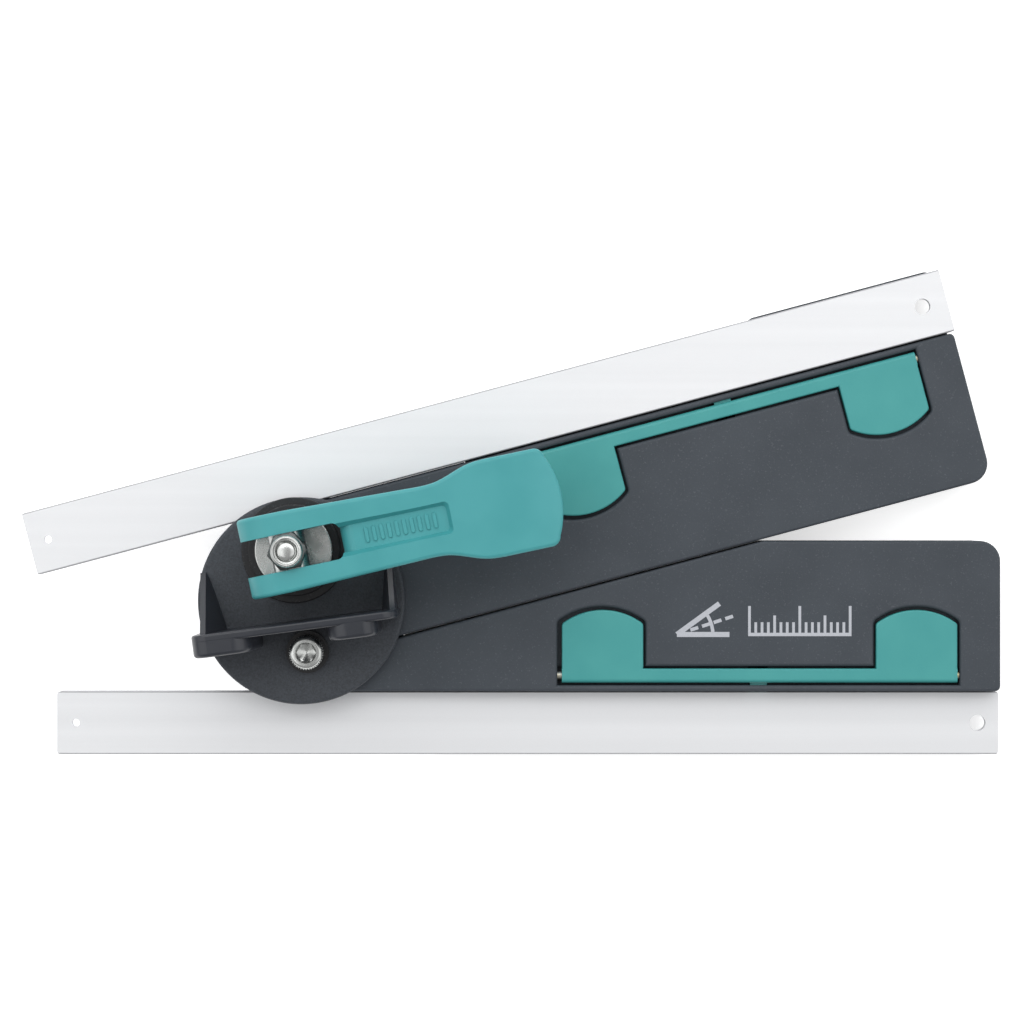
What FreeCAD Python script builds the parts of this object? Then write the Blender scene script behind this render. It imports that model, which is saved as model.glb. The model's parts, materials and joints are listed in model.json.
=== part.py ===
import FreeCAD, Part
import math
import os

# Angle-bisecting sliding bevel, in millimetres.
# Row frame: origin at the hub disc's centre, on the plane that the tool lies on; +Z up;
# +X along the lower arm and its rail. The upper arm is turned by REST_OPENING from the lower arm.
# Arm frame: origin at the arm's pivot, x along the arm, y outward to the rail's side. The lower
# arm is the mirror image of the upper arm.
# Bisector frame: origin at the hub disc's centre, x along the bisector of the two arms.

V = FreeCAD.Vector

# ---- driving dimensions -------------------------------------------------------------------------
REST_OPENING = 14.92  # angle between the arms at the closed stop, degrees
HALF_OPENING = REST_OPENING / 2
PIVOT_SPACING = 30.0  # between the two pivots
RUN = 0.3  # gap between pieces that pass each other

# levels
BASE_TOP = 3.2  # base disc
ARM_BOTTOM = 3.5  # shells, above the base disc
ARM_TOP = 16.0
HUB_BOTTOM = ARM_TOP + RUN
HUB_TOP = 20.8
FENCE_TOP = 45.0

# arms
ARM_END = 204.0
ARM_OUTER = 12.0  # edge beside the rail
ARM_INNER = -32.4
CUT_NEAR_PIVOT = -3.9  # the slanting edge's place at CUT_START
CUT_START = 27.0
WALL = 2.5
LUG_RADIUS = 11.6
LIP_GAP = 0.15  # between the upper shell's lip and the rails' inner edges
LIP_TOP = 13.5
LIP_START = 11.0
HUB_CLEAR_RADIUS = 31.5  # base plates stay outside this, around the hub
OTHER_LUG_CLEAR = 17.2  # the upper shell stays outside this, around the lower pivot

# gear sectors
TEETH = 20
MODULE = PIVOT_SPACING / TEETH
PITCH_RADIUS = PIVOT_SPACING / 2
TIP_RADIUS = PITCH_RADIUS + 0.9 * MODULE
ROOT_RADIUS = PITCH_RADIUS - 1.25 * MODULE
PRESSURE_ANGLE = math.radians(20)
BACKLASH = 0.34
GEAR_BOTTOM = 4.2
GEAR_TOP = 15.6

# rails
RAIL_LENGTH = 280.0
RAIL_WIDTH = 18.6
RAIL_HEIGHT = 6.0
RAIL_INNER = 12.5  # the rail's edge beside the arm
RAIL_START = -75.5
RAIL_WEB = 2.2
RAIL_SIDE = 2.2
RAIL_LIP = 1.6
RAIL_MOUTH = 8.0
SMALL_HOLE_RADIUS = 1.15
LARGE_HOLE_RADIUS = 2.3
SMALL_HOLE_INSET = 5.6
LOWER_HOLE_INSET = 6.1
UPPER_HOLE_INSET = 7.4
UPPER_RAIL_BOTTOM = ARM_TOP - RAIL_HEIGHT
LOWER_RAIL_BOTTOM = ARM_BOTTOM
RAIL_MIDDLE = RAIL_INNER + RAIL_WIDTH / 2
GUIDE_GAP = 0.3
GUIDE_END = 200.0
LEDGE_END = 203.2

# lock flaps
FLAP_START = 74.6
FLAP_END = 191.3
TAB_WIDTH = 24.0
STRIP_INNER = 5.3
STRIP_OUTER = 9.5
STRIP_BOTTOM = 11.6
FLAP_TOP = 15.9
TAB_BOTTOM = 12.9
TAB_SHOULDER = -7.9
TAB_CROWN = -12.0
FLAP_GAP = 0.7
CROWN_GAP = 1.05
POCKET_RIM = 0.9
FLAP_LEFT_GAP = 1.4
HINGE_Y = 7.4
HINGE_Z = 13.7
PIN_RADIUS = 1.25
PIN_RUN = 0.05
STRIP_ROUND = 1.2
NOSE_HALF_LENGTH = 2.5
NOSE_THICK = 1.8
UPPER_NOSE = (0.0, 4.6)  # direction below level in degrees, reach from the hinge
LOWER_NOSE = (50.0, 6.4)

# pivots
BUSH_OUTER = 5.0
BUSH_INNER = 3.08
BUSH_RUN = 0.06
BOSS_RADIUS = 7.0
BOSS_TOP = 6.2
SHANK_RADIUS = 3.0
HEAD_RADIUS = 5.0
NUT_ACROSS_FLATS = 10.0

# hub
BASE_RADIUS = 31.2
HUB_RADIUS = 30.4
FENCE_LEFT = -30.8
FENCE_RIGHT = 28.4
FENCE_BACK = -5.4
FENCE_FRONT = -7.8
LOBE_FRONT = -12.0
LOBE_ROUND = 4.5
LOBE_FALL = 5.5
LOBE_SPREAD = 1.5

# clamp
THRUST_RADIUS = 15.5
THRUST_STEP_RADIUS = 13.4
THRUST_STEP_TOP = 21.8
THRUST_TOP = 23.4
STEEL_WASHER_RADIUS = 11.3
STEEL_WASHER_TOP = 25.0
LEVER_ANGLE = 11.9  # from +X
CAM_RADIUS = 13.2
CAM_OFFSET = 0.9
CAM_GAP = 0.1
CLAMP_PIN_Z = STEEL_WASHER_TOP + CAM_GAP + CAM_RADIUS + CAM_OFFSET
CLAMP_PIN_RADIUS = 5.3
FORK_HALF = 11.6
SLOT_HALF = 5.25
SLOT_END = 15.6
LEVER_LENGTH = 79.5
LEVER_TOP = 7.4  # above the clamp pin's axis
LEVER_BOTTOM = -2.8
CURL_START = -4.5  # the prongs' top curves down behind this
PANEL_DEPTH = 2.0
PANEL_END = 48.5

UPPER_PIVOT = V(
    -PIVOT_SPACING / 2 * math.sin(math.radians(HALF_OPENING)),
    PIVOT_SPACING / 2 * math.cos(math.radians(HALF_OPENING)),
    0,
)
LOWER_PIVOT = V(-UPPER_PIVOT.x, -UPPER_PIVOT.y, 0)
# the other arm's pivot and the hub's centre, seen in an arm's frame at rest
TOWARD_OTHER = -90.0 - HALF_OPENING


# ---- helpers ------------------------------------------------------------------------------------
def polar(radius, degrees):
    angle = math.radians(degrees)
    return radius * math.cos(angle), radius * math.sin(angle)


OTHER_PIVOT = polar(PIVOT_SPACING, TOWARD_OTHER)
HUB_CENTRE = polar(PIVOT_SPACING / 2, TOWARD_OTHER)


def box(x0, x1, y0, y1, z0, z1):
    return Part.makeBox(x1 - x0, y1 - y0, z1 - z0, V(x0, y0, z0))


def rod(x, y, z0, z1, radius):
    return Part.makeCylinder(radius, z1 - z0, V(x, y, z0), V(0, 0, 1))


def rod_along_x(x0, x1, y, z, radius):
    return Part.makeCylinder(radius, x1 - x0, V(x0, y, z), V(1, 0, 0))


def hexagon(x, y, z0, z1, across_flats, turn=0.0):
    corner_radius = across_flats / math.sqrt(3)
    points = []
    for k in range(7):
        dx, dy = polar(corner_radius, turn + 60 * k)
        points.append(V(x + dx, y + dy, z0))
    return Part.Face(Part.makePolygon(points)).extrude(V(0, 0, z1 - z0))


def rounded_face(corners, to_point):
    """A flat face whose corners are (u, v, radius); to_point makes a space point from u and v."""
    edges = []
    last = None
    first = None
    count = len(corners)
    for k, (u, v, radius) in enumerate(corners):
        here = V(u, v, 0)
        before = V(corners[k - 1][0], corners[k - 1][1], 0) - here
        after = V(corners[(k + 1) % count][0], corners[(k + 1) % count][1], 0) - here
        before.normalize()
        after.normalize()
        if radius > 0:
            half = before.getAngle(after) / 2
            reach = radius / math.tan(half)
            start = here + before * reach
            end = here + after * reach
            inward = before + after
            inward.normalize()
            middle = here + inward * (radius / math.sin(half) - radius)
        else:
            start = end = middle = here
        if last is not None and (start - last).Length > 1e-6:
            edges.append(Part.LineSegment(to_point(last), to_point(start)).toShape())
        if radius > 0:
            edges.append(Part.Arc(to_point(start), to_point(middle), to_point(end)).toShape())
        if first is None:
            first = start
        last = end
    if (first - last).Length > 1e-6:
        edges.append(Part.LineSegment(to_point(last), to_point(first)).toShape())
    return Part.Face(Part.Wire(edges))


def prism(corners, z0, z1):
    face = rounded_face(corners, lambda p: V(p.x, p.y, z0))
    return face.extrude(V(0, 0, z1 - z0))


def bar_along_x(corners, x0, x1):
    """A bar along x with the cross-section (y, z, radius) corners."""
    face = rounded_face(corners, lambda p: V(x0, p.x, p.y))
    return face.extrude(V(x1 - x0, 0, 0))


def bar_along_y(corners, y0, y1):
    """A bar along y with the cross-section (x, z, radius) corners."""
    face = rounded_face(corners, lambda p: V(p.x, y0, p.y))
    return face.extrude(V(0, y1 - y0, 0))


def one_solid(shape):
    """The shape with its split faces joined, as a single solid where it is one."""
    shape = shape.removeSplitter()
    if len(shape.Solids) == 1:
        return shape.Solids[0]
    return shape


def round_edges(shape, radius, wanted):
    """Round the edges for which wanted(edge) is true."""
    edges = [edge for edge in shape.Edges if wanted(edge)]
    return shape.makeFillet(radius, edges)


def level_edge(z):
    def wanted(edge):
        bounds = edge.BoundBox
        return abs(bounds.ZMin - z) < 1e-4 and abs(bounds.ZMax - z) < 1e-4

    return wanted


def place_upper(shape):
    shape = shape.copy()
    shape.rotate(V(0, 0, 0), V(0, 0, 1), REST_OPENING)
    shape.translate(UPPER_PIVOT)
    return shape


def place_lower(shape):
    shape = shape.mirror(V(0, 0, 0), V(0, 1, 0))
    shape.translate(LOWER_PIVOT)
    return shape


def place_bisector(shape):
    shape = shape.copy()
    shape.rotate(V(0, 0, 0), V(0, 0, 1), HALF_OPENING)
    return shape


def place_lever(shape):
    shape = shape.copy()
    shape.rotate(V(0, 0, 0), V(0, 0, 1), LEVER_ANGLE)
    shape.translate(V(UPPER_PIVOT.x, UPPER_PIVOT.y, CLAMP_PIN_Z))
    return shape


def save(shape, name):
    if not shape.isValid():
        print("not valid:", name)
    print(name, "solids", len(shape.Solids), "volume", round(shape.Volume, 1))
    shape.exportStep(os.path.join("parts", name + ".step"))


# ---- arms ---------------------------------------------------------------------------------------
def involute(angle):
    return math.tan(angle) - angle


def tooth_outline(centre_degrees):
    """Points round one involute tooth, from root to root."""
    base_radius = PITCH_RADIUS * math.cos(PRESSURE_ANGLE)
    half_at_pitch = math.pi / (2 * TEETH) - BACKLASH / (2 * PITCH_RADIUS)
    flank = []
    steps = 6
    for k in range(steps + 1):
        radius = base_radius + (TIP_RADIUS - base_radius) * k / steps
        pressure = math.acos(min(1.0, base_radius / radius))
        half = half_at_pitch + involute(PRESSURE_ANGLE) - involute(pressure)
        flank.append((radius, math.degrees(half)))
    root = (ROOT_RADIUS - 0.4, flank[0][1])
    flank = [root] + flank
    points = [polar(radius, centre_degrees - half) for radius, half in flank]
    points += [polar(radius, centre_degrees + half) for radius, half in reversed(flank)]
    return points


def gear_sector(tooth_centres):
    """Teeth on a part of a ring, around the arm's pivot."""
    low = min(tooth_centres) - 4
    high = max(tooth_centres) + 4
    core = Part.makeCylinder(
        ROOT_RADIUS, GEAR_TOP - GEAR_BOTTOM, V(0, 0, GEAR_BOTTOM), V(0, 0, 1), high - low
    )
    core.rotate(V(0, 0, 0), V(0, 0, 1), low)
    teeth = []
    for centre in tooth_centres:
        points = [V(x, y, GEAR_BOTTOM) for x, y in tooth_outline(centre)]
        face = Part.Face(Part.makePolygon(points + points[:1]))
        teeth.append(face.extrude(V(0, 0, GEAR_TOP - GEAR_BOTTOM)))
    return core.fuse(teeth)


def slant(x, offset=0.0):
    """The slanting edge of the lower arm: y at x, moved outward by offset."""
    slope = math.tan(math.radians(REST_OPENING))
    return CUT_NEAR_PIVOT - slope * (x - CUT_START) + offset / math.cos(math.radians(REST_OPENING))


def arm_outline(is_lower, inset=0.0, start=0.0):
    """Corners of an arm's outline, moved inward by inset."""
    outer = ARM_OUTER - inset
    inner = ARM_INNER + inset
    end = ARM_END - inset
    far_round = max(0.5, 6.0 - inset)
    near_round = max(0.5, 1.5 - inset)
    corners = [(start, outer, 0.0), (end, outer, near_round), (end, inner, far_round)]
    if is_lower:
        slope = math.tan(math.radians(REST_OPENING))
        turn = CUT_START + (slant(CUT_START, inset) - inner) / slope
        corners.append((turn, inner, 3.0))
        corners.append((start, slant(start, inset), 0.0))
    else:
        corners.append((start, inner, 0.0))
    return corners


def tab_outline(start, grow, crown_grow, left_grow):
    """A tab of the flap seen from above, with an arc for its crown, grown all round."""
    x0 = start - left_grow
    x1 = start + TAB_WIDTH + grow
    shoulder = TAB_SHOULDER - grow
    crown = TAB_CROWN - crown_grow
    middle = (x0 + x1) / 2
    top = HINGE_Y
    edges = [
        Part.LineSegment(V(x0, top, 0), V(x0, shoulder, 0)).toShape(),
        Part.Arc(V(x0, shoulder, 0), V(middle, crown, 0), V(x1, shoulder, 0)).toShape(),
        Part.LineSegment(V(x1, shoulder, 0), V(x1, top, 0)).toShape(),
        Part.LineSegment(V(x1, top, 0), V(x0, top, 0)).toShape(),
    ]
    return Part.Face(Part.Wire(edges))


def soften_tab(solid, radius):
    """Round a tab's two shoulder corners."""

    def wanted(edge):
        bounds = edge.BoundBox
        upright = bounds.ZLength > 1.0 and bounds.XLength < 1e-4 and bounds.YLength < 1e-4
        return upright and bounds.YMax < 0

    return round_edges(solid, radius, wanted)


def tab_starts():
    return FLAP_START, FLAP_END - TAB_WIDTH


def flap_pocket():
    """The space in the shell that a lock flap closes into."""
    floor = TAB_BOTTOM - 0.5
    strip_floor = HINGE_Z - 2.9
    left = FLAP_START - FLAP_LEFT_GAP
    right = FLAP_END + FLAP_GAP
    pocket = box(left, right, STRIP_INNER - FLAP_GAP, STRIP_OUTER + FLAP_GAP, strip_floor, ARM_TOP + 1)
    for k, start in enumerate(tab_starts()):
        left_grow = FLAP_LEFT_GAP if k == 0 else FLAP_GAP
        face = tab_outline(start, FLAP_GAP, CROWN_GAP, left_grow)
        face.translate(V(0, 0, floor))
        pocket = pocket.fuse(soften_tab(face.extrude(V(0, 0, ARM_TOP + 1 - floor)), 1.8))
    return pocket


def nose_middle():
    return (FLAP_START + FLAP_END) / 2


def screw_places():
    return [(46.0, 0.5), (100.0, -17.0), (158.0, 3.0), (192.0, -24.0)]


def arm_shell(is_lower):
    """Moulded shell with the pivot lug, the gear sector and the flap's pocket."""
    body = prism(arm_outline(is_lower), ARM_BOTTOM, ARM_TOP)
    if not is_lower:
        body = body.cut(rod(OTHER_PIVOT[0], OTHER_PIVOT[1], 0, 30, OTHER_LUG_CLEAR))
    body = body.cut(box(-1, 3, LUG_RADIUS - 1, ARM_OUTER + 1, 0, 30))
    lug = rod(0, 0, ARM_BOTTOM, ARM_TOP, LUG_RADIUS)
    body = one_solid(body.fuse(lug))
    body = round_edges(body, 0.8, level_edge(ARM_TOP))
    if not is_lower:
        lip_edge = RAIL_INNER - LIP_GAP
        body = body.fuse(box(LIP_START, 54.5, ARM_OUTER - 1, lip_edge, ARM_BOTTOM, LIP_TOP))
    pitch = 360.0 / TEETH
    if is_lower:
        centres = [TOWARD_OTHER + pitch / 2 - pitch * k for k in range(7)]
    else:
        centres = [TOWARD_OTHER + pitch - pitch * k for k in range(8)]
    body = body.fuse(gear_sector(centres))
    hollow_start = 38.0
    low_hollow = prism(arm_outline(is_lower, WALL, hollow_start), 0, HINGE_Z - 2.9 - 1.5)
    hollow = low_hollow
    high = arm_outline(is_lower, WALL, hollow_start)
    side_hollow = prism(high, 0, ARM_TOP - WALL)
    side_hollow = side_hollow.cut(
        box(FLAP_START - 5, ARM_END, TAB_CROWN - 4, ARM_OUTER + 1, 0, ARM_TOP)
    )
    hollow = hollow.fuse(side_hollow)
    for x, y in screw_places():
        hollow = hollow.cut(rod(x, y, 0, ARM_TOP, 3.2))
    body = body.cut(hollow)
    for x, y in screw_places():
        body = body.cut(rod(x, y, 0, 10.6, 1.25))
    body = body.cut(flap_pocket())
    nose_low = 6.8 if is_lower else 8.6
    window = box(
        nose_middle() - NOSE_HALF_LENGTH - 0.5,
        nose_middle() + NOSE_HALF_LENGTH + 0.5,
        4.6,
        ARM_OUTER + 1,
        nose_low,
        15.0,
    )
    body = body.cut(window)
    body = body.cut(rod_along_x(FLAP_START - 7, FLAP_END + 6, HINGE_Y, HINGE_Z, PIN_RADIUS))
    body = body.cut(rod(0, 0, 0, 30, BUSH_OUTER + BUSH_RUN))
    body = body.cut(rod(0, 0, 0, BOSS_TOP + RUN, BOSS_RADIUS + RUN))
    return round_edges(one_solid(body), POCKET_RIM, pocket_rim)


def pocket_rim(edge):
    """True for the flap pocket's edges on the shell's top face."""
    place = edge.BoundBox
    beside_rail = place.YMax > ARM_OUTER - 1.5
    return (
        level_edge(ARM_TOP)(edge)
        and place.XMin > FLAP_START - 5
        and place.XMax < ARM_END - 5
        and place.YMin > TAB_CROWN - 2
        and not beside_rail
    )


def guide_profile(rail_bottom):
    """The T-shaped guide that the rail's channel runs on: (y, z, radius) corners."""
    stem = RAIL_MOUTH / 2 - GUIDE_GAP
    head = RAIL_WIDTH / 2 - RAIL_SIDE - GUIDE_GAP
    low = rail_bottom + RAIL_LIP + GUIDE_GAP
    high = rail_bottom + RAIL_HEIGHT - RAIL_WEB - GUIDE_GAP
    foot = rail_bottom - 1.0
    return [
        (RAIL_MIDDLE - stem, foot, 0),
        (RAIL_MIDDLE + stem, foot, 0),
        (RAIL_MIDDLE + stem, low, 0),
        (RAIL_MIDDLE + head, low, 0),
        (RAIL_MIDDLE + head, high, 0.4),
        (RAIL_MIDDLE - head, high, 0.4),
        (RAIL_MIDDLE - head, low, 0),
        (RAIL_MIDDLE - stem, low, 0),
    ]


def arm_base(is_lower):
    """Base plate with the ledge that carries the rail."""
    plate = prism(arm_outline(is_lower), 0, ARM_BOTTOM)
    plate = plate.cut(rod(HUB_CENTRE[0], HUB_CENTRE[1], -1, 10, HUB_CLEAR_RADIUS))
    rail_bottom = LOWER_RAIL_BOTTOM if is_lower else UPPER_RAIL_BOTTOM
    ledge_start = 36.0 if is_lower else 54.8
    ledge_edge = 30.4
    ledge_top = rail_bottom - GUIDE_GAP
    inner = ARM_OUTER if not is_lower else ARM_OUTER - 1
    ledge = prism(
        [
            (ledge_start, inner, 0),
            (LEDGE_END, inner, 0),
            (LEDGE_END, ledge_edge, 3.0),
            (ledge_start, ledge_edge, 3.0),
        ],
        0,
        ledge_top,
    )
    if not is_lower:
        rib = prism(
            [(146.0, 20.0, 0), (LEDGE_END, 20.0, 0), (LEDGE_END, 31.8, 2.5), (146.0, 31.8, 2.5)],
            ledge_top - 5.0,
            ledge_top,
        )
        ledge = ledge.fuse(rib)
        ledge = ledge.cut(
            prism(
                [
                    (ledge_start + 3, ARM_OUTER + 2, 1),
                    (GUIDE_END - 12, ARM_OUTER + 2, 1),
                    (GUIDE_END - 12, ledge_edge - 2.5, 1),
                    (ledge_start + 3, ledge_edge - 2.5, 1),
                ],
                -1,
                ledge_top - 3.0,
            )
        )
    base = plate.fuse(ledge)
    base = base.fuse(bar_along_x(guide_profile(rail_bottom), ledge_start, GUIDE_END))
    inset = LOWER_HOLE_INSET if is_lower else UPPER_HOLE_INSET
    hole_x = RAIL_START + RAIL_LENGTH - inset
    notch_half = 4.2
    notch_start = hole_x - LARGE_HOLE_RADIUS - 0.6
    notch_low = RAIL_MIDDLE - notch_half
    notch_high = RAIL_MIDDLE + notch_half
    base = base.cut(box(notch_start, LEDGE_END + 1, notch_low, notch_high, -1, 30))
    for x, y in screw_places():
        base = base.cut(rod(x, y, -1, 10, 1.4))
        base = base.cut(rod(x, y, -1, 2.0, 2.9))
    return one_solid(base)


def arm_screws():
    """The four pan-head screws that hold the base plate to the shell, from below."""
    screws = []
    for x, y in screw_places():
        head = rod(x, y, 0.5, 2.0, 2.6)
        recess = box(x - 1.5, x + 1.5, y - 0.35, y + 0.35, 0, 1.2)
        recess = recess.fuse(box(x - 0.35, x + 0.35, y - 1.5, y + 1.5, 0, 1.2))
        shank = rod(x, y, 2.0, 10.0, 1.2)
        screws.append(one_solid(head.cut(recess).fuse(shank)))
    return Part.makeCompound(screws)


def rail(rail_bottom, corner_radius, hole_inset):
    """Aluminium channel, open below, with a hang hole at each end."""
    half = RAIL_WIDTH / 2
    top = rail_bottom + RAIL_HEIGHT
    roof = top - RAIL_WEB
    lip_top = rail_bottom + RAIL_LIP
    profile = [
        (RAIL_MIDDLE - half, rail_bottom, 0.3),
        (RAIL_MIDDLE - RAIL_MOUTH / 2, rail_bottom, 0),
        (RAIL_MIDDLE - RAIL_MOUTH / 2, lip_top, 0),
        (RAIL_MIDDLE - half + RAIL_SIDE, lip_top, 0),
        (RAIL_MIDDLE - half + RAIL_SIDE, roof, 0),
        (RAIL_MIDDLE + half - RAIL_SIDE, roof, 0),
        (RAIL_MIDDLE + half - RAIL_SIDE, lip_top, 0),
        (RAIL_MIDDLE + RAIL_MOUTH / 2, lip_top, 0),
        (RAIL_MIDDLE + RAIL_MOUTH / 2, rail_bottom, 0),
        (RAIL_MIDDLE + half, rail_bottom, 0.3),
        (RAIL_MIDDLE + half, top, 0.35),
        (RAIL_MIDDLE - half, top, 0.35),
    ]
    end = RAIL_START + RAIL_LENGTH
    body = bar_along_x(profile, RAIL_START, end)
    corners = prism(
        [
            (RAIL_START, RAIL_MIDDLE - half, corner_radius),
            (end, RAIL_MIDDLE - half, corner_radius),
            (end, RAIL_MIDDLE + half, corner_radius),
            (RAIL_START, RAIL_MIDDLE + half, corner_radius),
        ],
        rail_bottom - 1,
        top + 1,
    )
    body = body.common(corners)
    body = body.cut(rod(RAIL_START + SMALL_HOLE_INSET, RAIL_MIDDLE, 0, 30, SMALL_HOLE_RADIUS))
    body = body.cut(rod(end - hole_inset, RAIL_MIDDLE, 0, 30, LARGE_HOLE_RADIUS))
    return one_solid(body)


def lock_flap(nose):
    """Flap with a hinged strip, two finger tabs and a nose that presses on the rail."""
    strip = bar_along_x(
        [
            (STRIP_INNER, STRIP_BOTTOM, STRIP_ROUND),
            (STRIP_OUTER, STRIP_BOTTOM, STRIP_ROUND),
            (STRIP_OUTER, FLAP_TOP, STRIP_ROUND),
            (STRIP_INNER, FLAP_TOP, 0.5),
        ],
        FLAP_START,
        FLAP_END,
    )
    flap = strip
    for start in tab_starts():
        face = tab_outline(start, 0, 0, 0)
        face.translate(V(0, 0, TAB_BOTTOM))
        tab = soften_tab(face.extrude(V(0, 0, FLAP_TOP - TAB_BOTTOM)), 1.4)

        def rim(edge):
            bounds = edge.BoundBox
            return level_edge(FLAP_TOP)(edge) and bounds.YMin < HINGE_Y - 0.01

        flap = flap.fuse(round_edges(tab, 0.5, rim))
    below, reach = nose
    block = box(
        nose_middle() - NOSE_HALF_LENGTH,
        nose_middle() + NOSE_HALF_LENGTH,
        0,
        reach,
        -NOSE_THICK / 2,
        NOSE_THICK / 2,
    )
    block.rotate(V(0, 0, 0), V(1, 0, 0), -below)
    block.translate(V(0, HINGE_Y, HINGE_Z))
    flap = flap.fuse(block)
    hole = rod_along_x(FLAP_START - 1, FLAP_END + 1, HINGE_Y, HINGE_Z, PIN_RADIUS + PIN_RUN)
    return one_solid(flap.cut(hole))


def flap_pin():
    """The steel pin that a lock flap turns on, held at both ends in the shell."""
    return rod_along_x(FLAP_START - 6, FLAP_END + 5, HINGE_Y, HINGE_Z, PIN_RADIUS)


# ---- hub ----------------------------------------------------------------------------------------
def base_disc():
    """Bottom disc with a boss round each pivot."""
    disc = rod(0, 0, 0, BASE_TOP, BASE_RADIUS)
    disc = disc.makeChamfer(0.6, [e for e in disc.Edges if level_edge(0)(e)])
    for pivot in (UPPER_PIVOT, LOWER_PIVOT):
        disc = disc.fuse(rod(pivot.x, pivot.y, 0, BOSS_TOP, BOSS_RADIUS))
    disc = disc.cut(rod(UPPER_PIVOT.x, UPPER_PIVOT.y, -1, 20, SHANK_RADIUS + 0.2))
    disc = disc.cut(rod(UPPER_PIVOT.x, UPPER_PIVOT.y, -1, 4.4, HEAD_RADIUS + 0.4))
    disc = disc.cut(rod(LOWER_PIVOT.x, LOWER_PIVOT.y, -1, 20, SHANK_RADIUS + 0.2))
    disc = disc.cut(
        hexagon(LOWER_PIVOT.x, LOWER_PIVOT.y, -1, 3.8, NUT_ACROSS_FLATS + 0.2)
    )
    return one_solid(disc)


def upright_face_edge(y):
    """True for the edges of an upright face at y, above the disc."""

    def wanted(edge):
        place = edge.BoundBox
        return abs(place.YMin - y) < 1e-4 and abs(place.YMax - y) < 1e-4 and place.ZMax > HUB_TOP + 1

    return wanted


def lobe(left, right, mirrored):
    """A thick end of the fence: rounded over at both ends, more at the one toward the middle."""
    outer, inner = (right, left) if mirrored else (left, right)
    way = -1 if mirrored else 1
    top = FENCE_TOP - 0.05
    low = HUB_BOTTOM
    share = 1 - math.cos(math.radians(45))

    def at(x, z):
        return V(x, LOBE_FRONT, z)

    start = at(outer, low)
    side = at(outer, top - LOBE_ROUND)
    corner = at(outer + way * LOBE_ROUND * share, top - LOBE_ROUND * share)
    roof = at(outer + way * LOBE_ROUND, top)
    roof_end = at(inner - way * LOBE_FALL, top)
    shoulder = at(inner - way * LOBE_FALL * share, top - LOBE_FALL * share)
    fall = at(inner, top - LOBE_FALL)
    foot = at(inner + way * LOBE_SPREAD, low)
    edges = [
        Part.LineSegment(start, side).toShape(),
        Part.Arc(side, corner, roof).toShape(),
        Part.LineSegment(roof, roof_end).toShape(),
        Part.Arc(roof_end, shoulder, fall).toShape(),
        Part.LineSegment(fall, foot).toShape(),
        Part.LineSegment(foot, start).toShape(),
    ]
    solid = Part.Face(Part.Wire(edges)).extrude(V(0, FENCE_FRONT + 1.2 - LOBE_FRONT, 0))
    return round_edges(solid, 1.2, upright_face_edge(LOBE_FRONT))


def gusset(outer, root, crest, reach):
    """A web behind the fence: thick at its root on the disc, thin along its sloping crest."""
    low = HUB_BOTTOM + 1
    top = FENCE_TOP - 2.5
    tip = crest + (root - crest) / 3
    sections = (
        (reach, [(outer, low), (tip, low), (crest, HUB_TOP + 0.5), (outer, HUB_TOP + 0.5)]),
        (FENCE_BACK - 1.0, [(outer, low), (root, low), (crest, top), (outer, top)]),
    )
    wires = []
    for y, corners in sections:
        points = [V(x, y, z) for x, z in corners]
        wires.append(Part.makePolygon(points + points[:1]))
    return Part.makeLoft(wires, True, True)


def hub_plate():
    """Top disc, and the fence that stays on the bisector, with its lobes and gussets."""
    disc = rod(0, 0, HUB_BOTTOM, HUB_TOP, HUB_RADIUS)
    disc = round_edges(disc, 1.0, level_edge(HUB_TOP))
    wall = bar_along_y(
        [
            (FENCE_LEFT, HUB_BOTTOM, 0),
            (FENCE_RIGHT, HUB_BOTTOM, 0),
            (FENCE_RIGHT, FENCE_TOP, LOBE_ROUND),
            (FENCE_LEFT, FENCE_TOP, LOBE_ROUND),
        ],
        FENCE_FRONT,
        FENCE_BACK,
    )
    wall = round_edges(wall, 0.7, upright_face_edge(FENCE_FRONT))
    wall = round_edges(wall, 0.7, upright_face_edge(FENCE_BACK))
    hub = disc.fuse(wall)
    hub = hub.fuse(lobe(FENCE_LEFT, -13.8, False))
    hub = hub.fuse(lobe(8.1, 22.4, True))
    hub = hub.fuse(gusset(-28.2, -21.5, -26.6, 11.9))
    hub = hub.fuse(gusset(FENCE_RIGHT - 0.5, 22.5, FENCE_RIGHT - 2.0, 9.0))
    hub = place_bisector(hub)
    for pivot in (UPPER_PIVOT, LOWER_PIVOT):
        hub = hub.cut(rod(pivot.x, pivot.y, 0, 60, SHANK_RADIUS + 0.2))
    return one_solid(hub)


def pivot_bush(pivot):
    """Steel sleeve between the base disc's boss and the hub plate; the arm turns on it."""
    sleeve = rod(pivot.x, pivot.y, BOSS_TOP, HUB_BOTTOM, BUSH_OUTER)
    return sleeve.cut(rod(pivot.x, pivot.y, 0, 30, BUSH_INNER))


def pivot_screw():
    """Socket-head cap screw at the lower pivot."""
    x, y = LOWER_PIVOT.x, LOWER_PIVOT.y
    seat = HUB_TOP + 1.6
    head = rod(x, y, seat, seat + 6.0, HEAD_RADIUS)
    head = round_edges(head, 0.5, level_edge(seat + 6.0))
    head = head.cut(hexagon(x, y, seat + 3.0, seat + 7.0, 5.0, 20))
    return one_solid(head.fuse(rod(x, y, 0.7, seat, SHANK_RADIUS)))


def pivot_washer():
    x, y = LOWER_PIVOT.x, LOWER_PIVOT.y
    washer = rod(x, y, HUB_TOP, HUB_TOP + 1.6, 6.2)
    return washer.cut(rod(x, y, 0, 60, SHANK_RADIUS + 0.2))


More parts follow.
